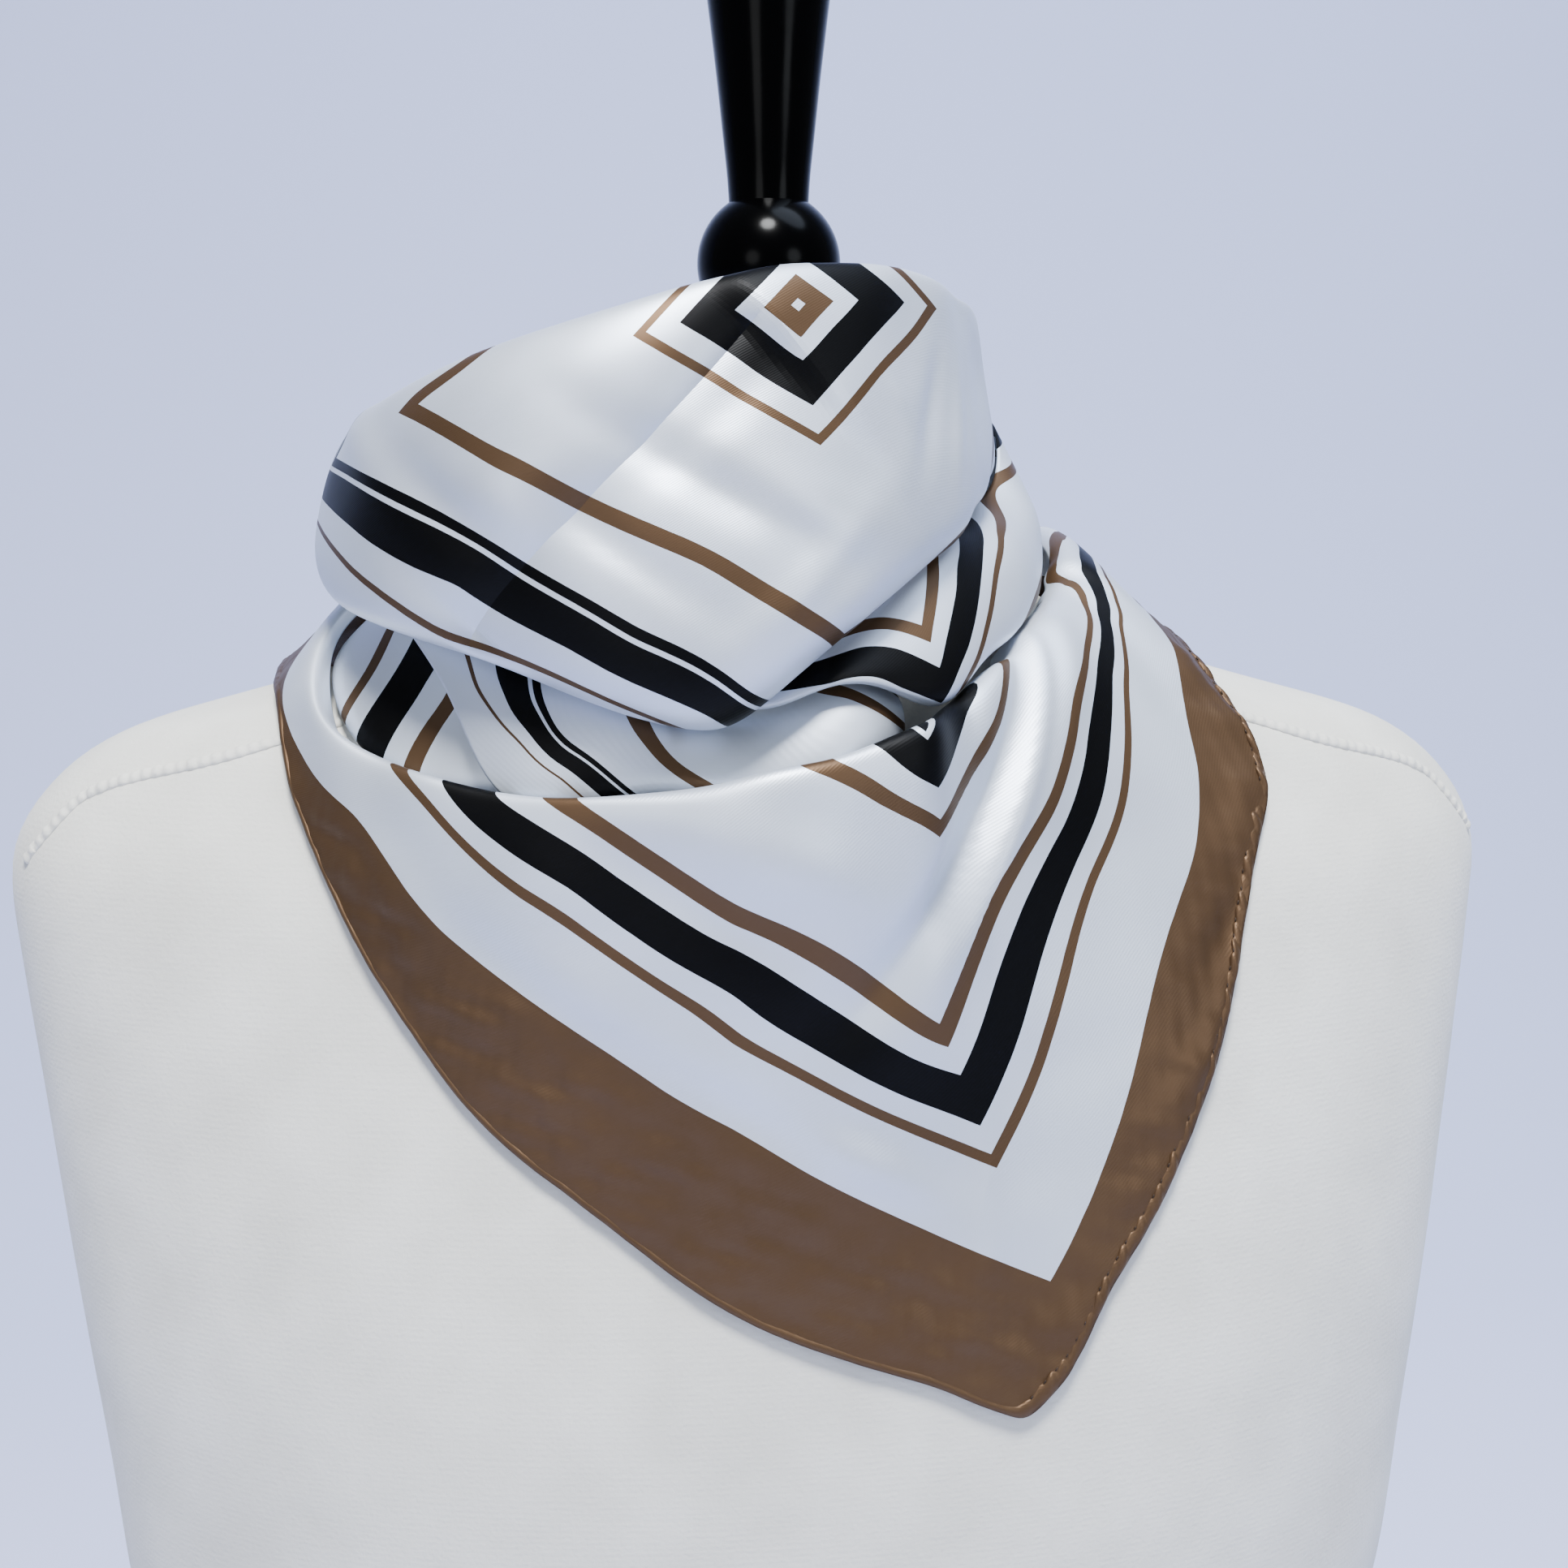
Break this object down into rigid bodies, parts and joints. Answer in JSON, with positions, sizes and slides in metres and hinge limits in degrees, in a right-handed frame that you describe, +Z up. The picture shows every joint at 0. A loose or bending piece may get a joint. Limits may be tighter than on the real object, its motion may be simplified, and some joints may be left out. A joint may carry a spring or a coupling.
{
  "type": "silk square scarf on a limbless dress form",
  "caption": "Silk square scarf folded on its diagonal and wound as a cowl round the neck of a limbless dress form, one corner hanging in front",
  "frame": {"origin": "centre of the dress form's flat base, on the surface that it rests on", "axes": "+Z up, along the neck, +X towards the viewer's right, the chest and the hanging corner face -Y"},
  "size_m": [0.3988, 0.2197, 0.7026],
  "materials": {
    "satin_white": "soft satin silk, white ground with brown and black stripes",
    "satin_brown": "soft satin silk, camel brown border",
    "jersey": "matt cream jersey cover",
    "turned_black": "satin-gloss black"
  },
  "bodies": {
    "root": {"scarf_upper_fold": "satin_white", "scarf_right_fold": "satin_white", "scarf_middle_roll": "satin_white", "scarf_inner_fold": "satin_white", "scarf_front_drape": "satin_white", "scarf_knot": "satin_white", "scarf_tail_left": "satin_brown", "scarf_tail_right": "satin_brown", "dress_form_body": "jersey", "neck_cap": "turned_black", "neck_finial": "turned_black"}
  },
  "joints": []
}
